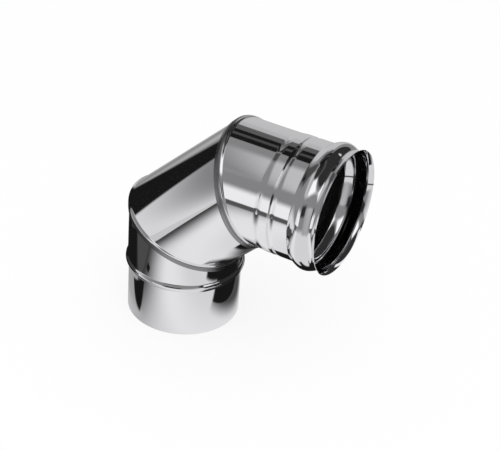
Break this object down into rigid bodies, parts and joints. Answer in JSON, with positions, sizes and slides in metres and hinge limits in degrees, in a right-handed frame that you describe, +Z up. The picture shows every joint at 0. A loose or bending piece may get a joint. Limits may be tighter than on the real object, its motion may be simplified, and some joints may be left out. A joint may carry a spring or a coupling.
{
  "type": "flue elbow",
  "caption": "Right-angle flue elbow of mirror-polished sheet gores with folded lock seams, a plain spigot with a stop bead and a beaded socket with a flared lip.",
  "frame": {"origin": "centre of the spigot's open end, on the duct's axis, where the elbow stands", "axes": "+Z up along the spigot's axis into the bend, +X out of the socket's mouth, the bend lies in the XZ plane"},
  "size_m": [0.2414, 0.1332, 0.2478],
  "materials": {
    "polished_steel": "mirror-polished rolled stainless sheet"
  },
  "bodies": {
    "root": {"spigot_gore": "polished_steel", "middle_gore": "polished_steel", "socket_gore": "polished_steel"}
  },
  "joints": []
}
